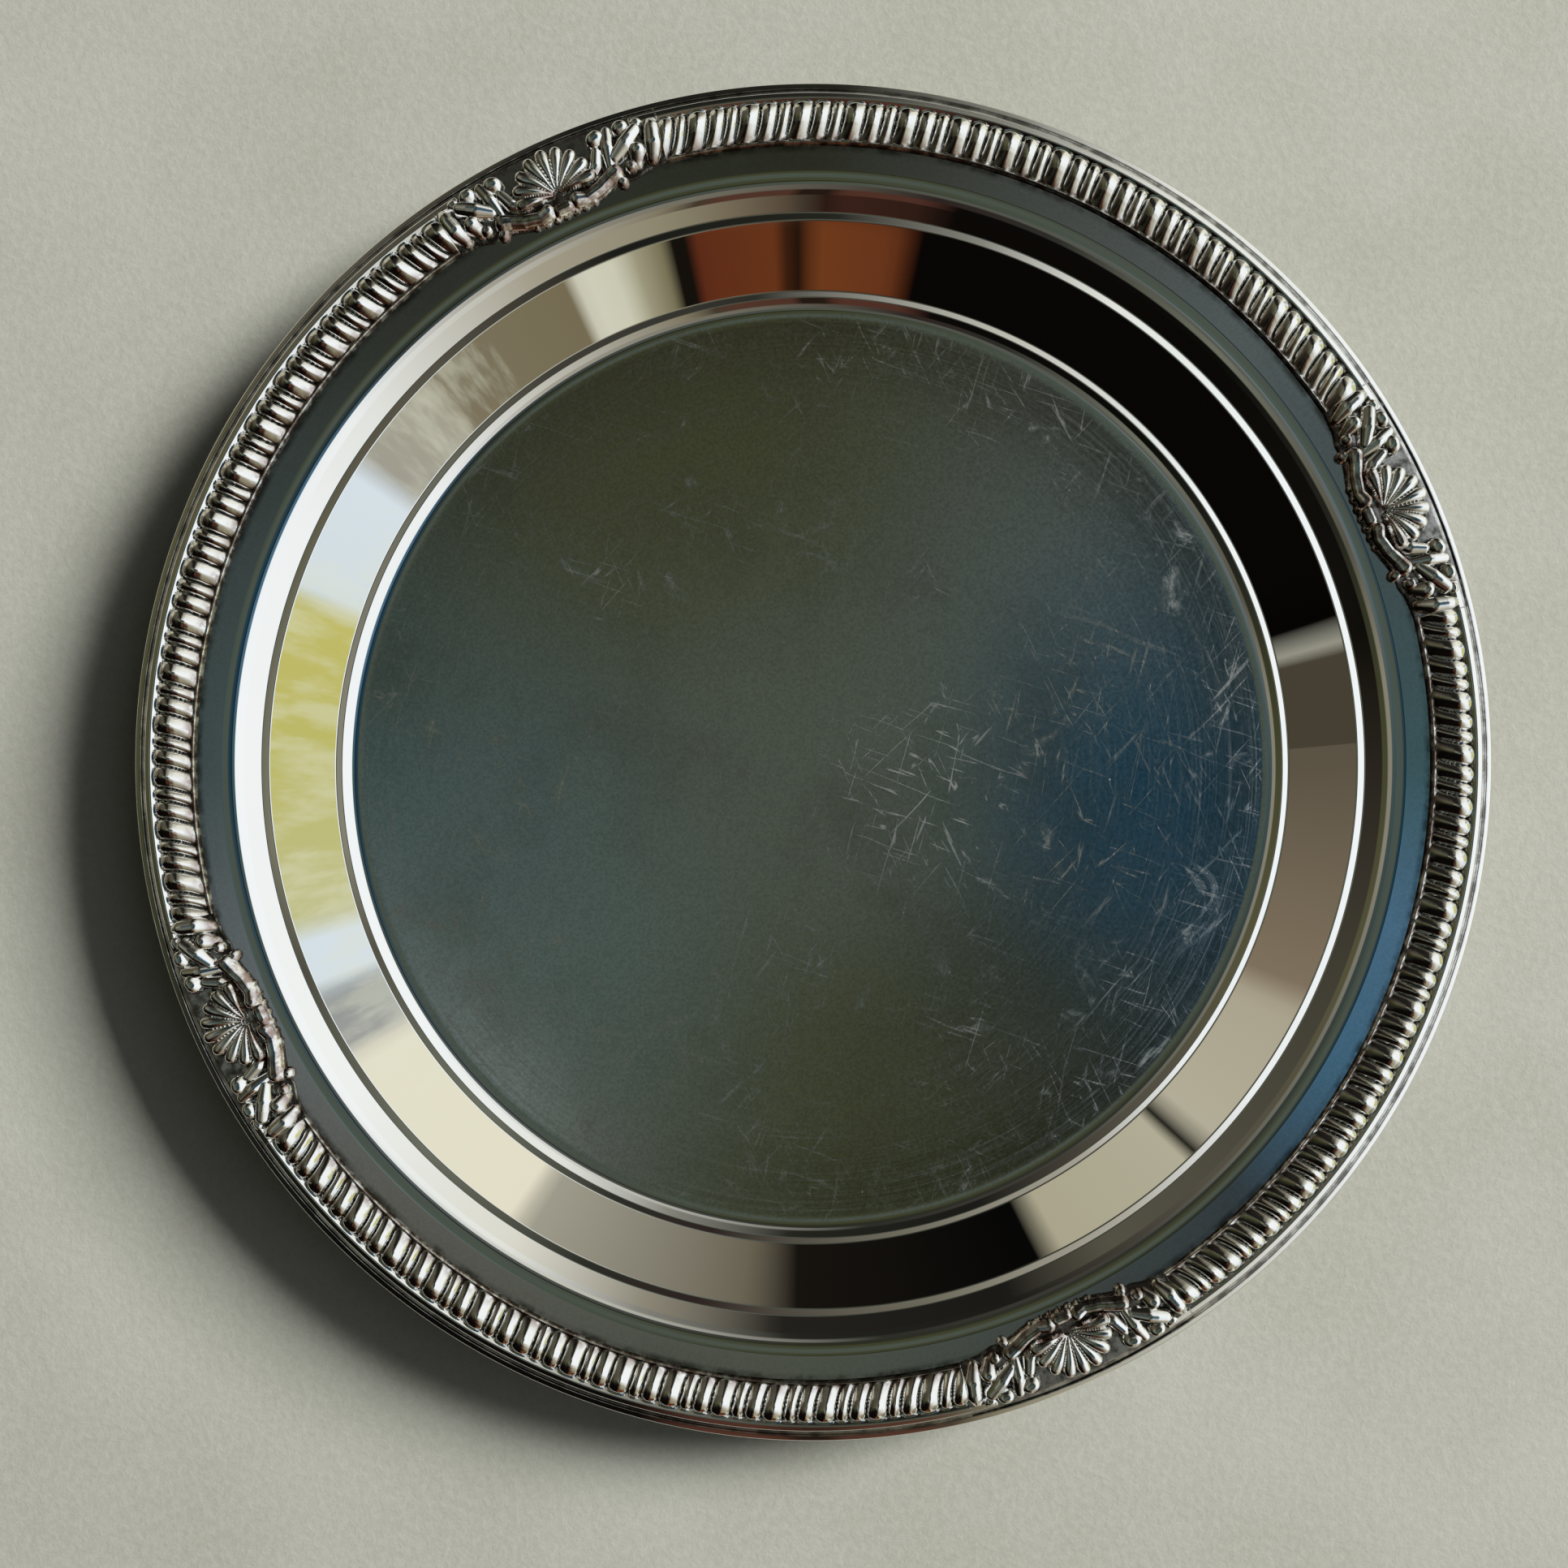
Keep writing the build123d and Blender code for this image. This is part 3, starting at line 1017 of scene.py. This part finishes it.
def relief_sheet(inner, outer, half_angle, cell, height_at):
    """Grid bent round the axis and lifted by a height, closed underneath."""
    rows = int((outer - inner) / cell)
    columns = int(2 * half_angle * outer / cell)
    bm = bmesh.new()
    bmesh.ops.create_grid(bm, x_segments=rows, y_segments=columns, size=0.5)
    flat = np.array([vertex.co for vertex in bm.verts])
    radius = inner + (flat[:, 0] + 0.5) * (outer - inner)
    angle = flat[:, 1] * 2 * half_angle
    height = height_at(radius, angle)
    around = np.zeros_like(height)
    for turn in np.linspace(0.0, 2 * math.pi, hollow_samples, endpoint=False):
        step_out = hollow_reach * math.cos(turn)
        step_round = hollow_reach * math.sin(turn) / outer
        around += height_at(radius + step_out, angle + step_round) / hollow_samples
    # Depth for the material's tarnish and painted shade: hollows, and low ground near the rim
    depth = np.clip((around - height) / hollow_reach, 0.0, 1.0)
    depth = np.maximum(depth, low_tarnish_and_shade * np.clip((low_height - height) / low_fade, 0.0, 1.0))
    depth_layer = bm.verts.layers.float.new("groove")
    for vertex, out, turn, lift, hollow in zip(bm.verts, radius, angle, height, depth):
        vertex.co = (out * math.cos(turn), out * math.sin(turn), rim_top + lift)
        vertex[depth_layer] = hollow
    rim_edges = [edge for edge in bm.edges if edge.is_boundary]
    made = bmesh.ops.extrude_edge_only(bm, edges=rim_edges)["geom"]
    low = [item for item in made if isinstance(item, bmesh.types.BMVert)]
    for vertex in low:
        vertex.co.z = rim_top - grid_floor
    bottom = [item for item in made if isinstance(item, bmesh.types.BMEdge)]
    bmesh.ops.edgeloop_fill(bm, edges=bottom)
    bmesh.ops.recalc_face_normals(bm, faces=bm.faces)
    return bm


def dome(across):
    """Height of a round section at a share of its half width."""
    return np.sqrt(np.clip(1.0 - across * across, 0.0, 1.0))


print("a relief's ground lies", seat_depth, "metres deep in the rim")

# %% [markdown]
# ## The gadroon strips
#
# Gadroons are rounded lobes in a row. On this border they come in threes, wide,
# narrow and medium, plump at the outer end and sloping to a fine bead at the inner
# one. Towards the shells their inner ends lean over. One rounded reed runs outside.
# A lobe's swell is a short table of its height along its length, and its section is
# a ridge that falls to both sides and turns down steeply at the groove.

# %% Gadroon strip
strip_plate = 0.00035
inner_bead_width = 0.0006
inner_bead_height = 0.00065
reed_width = 0.0011
reed_height = 0.0011
lobe_groove = 0.0001
lobe_triples = 15
lobe_tail_offset = 0.0015
lobe_width_shares = [0.41, 0.255, 0.335]
lobe_rise_shares = [1.0, 0.86, 0.93]
lobe_places = (0.0, 0.12, 0.26, 0.40, 0.51, 0.60, 0.68, 0.77, 0.86, 0.94, 1.0)
lobe_swells = (0.32, 0.48, 0.67, 0.85, 0.95, 1.0, 0.99, 0.95, 0.88, 0.79, 0.70)
round_end = 0.12
tail_ridge_fall = 0.5
ridge_fall = 0.23
tail_ridge_end = 0.75
ridge_power = 1.4
groove_from = 0.82
groove_share = 0.35
ornament_half_width = 0.0129
strip_clearance = 0.0002
strip_cell = 0.00012
reed_crest_share = 0.58
reed_foot_share = 0.68
reed_edge_share = 0.87

lobe_tail = strip_inner + inner_bead_width
lobe_cap = strip_outer - reed_width
strip_half_angle = math.pi / 4 - (ornament_half_width + strip_clearance) / strip_inner
lobe_rise = border_top - rim_top
reed_crest = strip_outer - reed_crest_share * reed_width


def strip_ground(radius):
    """Height of the strip under its lobes: a soft inner foot, a plate and the outer reed."""
    rise = np.clip((radius - strip_inner) / inner_bead_width, 0.0, 1.0)
    bead = (inner_bead_height - strip_plate) * np.sin(rise * math.pi)
    height = strip_plate + bead - seat_depth * (1 - rise) ** 2
    places = (lobe_cap, reed_crest, strip_outer)
    reed = reed_height * np.interp(radius, places, (reed_foot_share, 1.0, reed_edge_share))
    return np.where(radius > lobe_cap, reed, height)


def strip_height(radius, angle):
    """Height above the rim of a gadroon strip."""
    height = strip_ground(radius)
    along = (radius - lobe_tail) / (lobe_cap - lobe_tail)
    swell = np.interp(along, lobe_places, lobe_swells)
    inside = (along >= 0) & (along <= 1)
    lean_out = np.clip(1 - along, 0, 1) ** 2
    triple_angle = 2 * strip_half_angle / lobe_triples
    middle = -strip_half_angle
    for i in range(3 * lobe_triples):
        width_share = lobe_width_shares[i % 3]
        middle += width_share * triple_angle / 2
        lean = lobe_tail_offset * middle / strip_half_angle * lean_out
        half_width = (width_share * triple_angle * radius - lobe_groove) / 2
        across = ((angle - middle) * radius - lean) / half_width
        fall = np.interp(along, (0.0, tail_ridge_end), (tail_ridge_fall, ridge_fall))
        flank = 1.0 - fall * np.abs(across) ** ridge_power
        edge = np.clip((np.abs(across) - groove_from) / (1 - groove_from), 0, 1)
        section = flank * (groove_share + (1 - groove_share) * dome(edge))
        lobe = lobe_rise * lobe_rise_shares[i % 3] * swell * section
        on_lobe = inside & (np.abs(across) < 1) & (along < 1 - round_end * across**2)
        height = np.where(on_lobe, np.maximum(height, lobe), height)
        middle += width_share * triple_angle / 2
    outside = (radius < strip_inner) | (radius > strip_outer) | (np.abs(angle) > strip_half_angle)
    return np.where(outside, -seat_depth, height)


def four_pieces(first, start_turn, name, node):
    """Four turned copies of one relief, a quarter of a turn apart."""
    for number in range(4):
        bm = first.copy()
        turn = Matrix.Rotation(start_turn + number * math.pi / 2, 3, "Z")
        bmesh.ops.rotate(bm, verts=bm.verts, cent=(0, 0, 0), matrix=turn)
        piece = finish_piece(bm, f"{name}_{number + 1}", silver_of_border, f"{node}_{number + 1}")
    first.free()
    print(name, "faces", len(piece.data.polygons))


strip_grid_angle = strip_half_angle + strip_cell / strip_outer
strip_relief = relief_sheet(
    strip_inner - strip_cell,
    strip_outer + strip_cell,
    strip_grid_angle,
    strip_cell,
    strip_height,
)
four_pieces(strip_relief, math.pi / 4, "gadroon_border", "gadroon_strip")

# %% [markdown]
# ## The shell ornaments
#
# Each shell is a fan of ribs on a hinge, with petals below and leafy scrolls on both
# sides. Every part is a stroke: a line of round domes whose width and height change
# along it, and the highest dome wins, just as a chaser's punches leave the highest
# metal standing. The scrolls' domes are tilted, higher towards the tray's edge, so that
# most of each one faces the middle and shines like the photograph's.

# %% Cushion and scrolls of the shell
shell_middle = 0.075
shell_reach_in = 0.0697
shell_reach_out = 0.0793
shell_half_width = 0.0138
shell_cell = 0.00009

# The cushion under the strokes, in millimetres; its inner edge: across, radius
cushion_edge = [(0.0, 70.3), (4.0, 70.4), (6.0, 71.1), (8.0, 71.7), (9.5, 71.7), (11.0, 72.3), (13.2, 72.6)]
cushion_height = 0.3
cushion_rise = 0.15
cushion_run = 2.0
cushion_outer = 78.5
cushion_overlap = 0.75
reed_end = 10.6

# The scrolls' strokes in millimetres: across, radius, half width, height
side_strokes = [
    [
        (1.9, 71.4, 0.72, 1.85),
        (3.0, 71.2, 0.62, 1.65),
        (5.0, 71.7, 0.66, 1.65),
        (6.5, 72.4, 0.68, 1.7),
        (7.4, 72.7, 0.78, 1.8),
    ],
    [(7.9, 71.7, 0.52, 1.4), (8.0, 71.6, 0.52, 1.4)],
    [(9.4, 73.0, 0.52, 1.4), (9.5, 73.0, 0.52, 1.4)],
    [(10.2, 73.2, 0.5, 1.2), (10.7, 74.4, 0.75, 1.75)],
    [(12.2, 73.3, 0.5, 1.2), (12.7, 74.8, 0.78, 1.8), (12.9, 76.4, 0.7, 1.7), (12.9, 77.1, 0.5, 1.4)],
    [(7.9, 74.5, 0.5, 1.4), (9.4, 75.5, 0.7, 1.8), (10.9, 76.7, 0.62, 1.6)],
    [(4.1, 72.8, 0.45, 1.2), (5.4, 74.1, 0.6, 1.55), (6.0, 75.6, 0.5, 1.45)],
    [(6.2, 77.0, 0.75, 1.65), (6.5, 77.1, 0.75, 1.65)],
    [(7.1, 73.8, 0.4, 1.2), (7.4, 75.6, 0.6, 1.6), (7.8, 77.5, 0.5, 1.4)],
    [(9.3, 77.5, 0.66, 1.5), (9.6, 77.5, 0.66, 1.5)],
    [(11.2, 77.6, 0.45, 1.2), (11.4, 77.6, 0.45, 1.2)],
]
stroke_samples = 14
stroke_widening = 1.3
stroke_tilt = 0.36
cap_share = 0.6
inward_fall = 0.1
fall_from = 76.0


def stroke_places(points):
    """Places along a stroke, eased between its points."""
    points = np.array(points)
    steps = np.linspace(0.0, len(points) - 1.0, stroke_samples * (len(points) - 1) + 1)
    return [tuple(np.interp(step, range(len(points)), points[:, k]) for k in range(4)) for step in steps]


def scroll_domes():
    """Domes of the scrolls: across, radius, half width, foot, top and tilt."""
    domes = []
    for stroke in side_strokes:
        for across, out, half_width, top in stroke_places(stroke):
            wide = half_width * stroke_widening
            top -= inward_fall * max(0.0, fall_from - out)
            for side in (-across, across):
                domes.append((side, out, wide, top - cap_share * wide, top, stroke_tilt))
    return domes


print("scroll domes", len(scroll_domes()))

# %% [markdown]
# ## The fan and the petals
#
# The fan's ribs run out from the hinge like spokes and widen as they part, so one loop
# over the ribs and one along each rib make them. Each rib rises as it runs out and
# rounds down at its end. The petals under the hinge are shorter strokes of one width.

# %% Fan and petals of the shell
fan_hinge = 73.0
fan_rib_count = 9
fan_half_angle = math.radians(84)
fan_length = 5.3
fan_tilt = 0.06
side_rib_share = 0.97
rib_samples = 30
rib_start_share = 0.14
rib_end_radius = 0.66
rib_gap_share = 0.94
rib_least_width = 0.2
rib_greatest_width = 0.72
rib_foot_height = 0.8
rib_rise = 1.0
rib_arch_share = 0.58
rib_depth = 0.22
rib_end_depth = 0.3
hinge_bead = 71.1
hinge_half_run = 0.65
hinge_samples = 7
hinge_half_width = 0.75
hinge_foot = 0.8
hinge_top = 1.3
petal_count = 7
petal_samples = 6
petal_half_run = 3.9
petal_start = 71.2
petal_length = 0.55
petal_bow = 0.25
petal_half_width = 0.6
petal_foot = 0.1
petal_top = 1.05
petal_fall = 0.25


def rib_domes(share):
    """Domes of one rib; the share runs from -1 at one side of the fan to 1."""
    lean = fan_half_angle * share
    length = fan_length * (1 - (1 - side_rib_share) * share * share)
    widening = math.tan(fan_half_angle / (fan_rib_count - 1)) * rib_gap_share
    domes = []
    for reach in np.linspace(rib_start_share, 1.0, rib_samples):
        run = reach * (length - rib_end_radius)
        half_width = min(rib_greatest_width, max(rib_least_width, run * widening))
        top = rib_foot_height + rib_rise * math.sin(reach * math.pi * rib_arch_share)
        foot = top - rib_depth - rib_end_depth * reach**2
        out = fan_hinge + run * math.cos(lean)
        domes.append((run * math.sin(lean), out, half_width, foot, top, fan_tilt))
    return domes


def petal_domes(share):
    """Domes of one petal; the share runs from -1 at one side to 1."""
    domes = []
    for reach in np.linspace(0.0, 1.0, petal_samples):
        out = petal_start - petal_length * reach + petal_bow * share * share
        top = petal_top - petal_fall * reach
        domes.append((petal_half_run * share, out, petal_half_width, petal_foot, top, fan_tilt))
    return domes


def shell_domes():
    """All domes of one shell."""
    domes = scroll_domes()
    for share in np.linspace(-1.0, 1.0, fan_rib_count):
        domes += rib_domes(share)
    for across in np.linspace(-hinge_half_run, hinge_half_run, hinge_samples):
        domes.append((across, hinge_bead, hinge_half_width, hinge_foot, hinge_top, stroke_tilt))
    for share in np.linspace(-1.0, 1.0, petal_count):
        domes += petal_domes(share)
    return domes


all_domes = shell_domes()
print("shell domes", len(all_domes))

# %% [markdown]
# ## The shell's relief
#
# The cushion lies lowest, the ends of the strip's reed run on beside it, and the domes
# stand on both. Each point of the grid takes the highest of them.

# %% Shell ornament
def shell_height(radius, angle):
    """Height above the rim of a shell ornament."""
    across = angle * shell_middle * to_mm
    out = radius * to_mm
    edge_across, edge_out = zip(*cushion_edge)
    inside = out - np.interp(np.abs(across), edge_across, edge_out)
    cushion = cushion_height + cushion_rise * np.sqrt(np.clip(inside / cushion_run, 0, 1))
    plate = np.abs(across) < ornament_half_width * to_mm + cushion_overlap
    plate = plate & (inside > 0) & (out < cushion_outer)
    height = np.where(plate, cushion, -seat_depth * to_mm)
    beside = (np.abs(across) > reed_end) & (out > lobe_cap * to_mm) & (out < strip_outer * to_mm)
    height = np.where(beside, strip_ground(radius) * to_mm, height)
    for middle, middle_out, half_width, foot, top, tilt in all_domes:
        square = ((across - middle) ** 2 + (out - middle_out) ** 2) / half_width**2
        near = square < 1
        bulge = (top - foot) * np.sqrt(1 - square[near]) + tilt * (out[near] - middle_out)
        height[near] = np.maximum(height[near], foot + bulge)
    return height / to_mm


shell_grid_angle = shell_half_width / shell_middle
shell_relief = relief_sheet(shell_reach_in, shell_reach_out, shell_grid_angle, shell_cell, shell_height)
four_pieces(shell_relief, 0.0, "shell_relief", "shell_ornament")

# %% [markdown]
# ## Sizes and the end
#
# The imported model's box is printed.

# %% Sizes written
print("cad box", cad_box)
bpy.context.scene.view_settings.view_transform = "Standard"
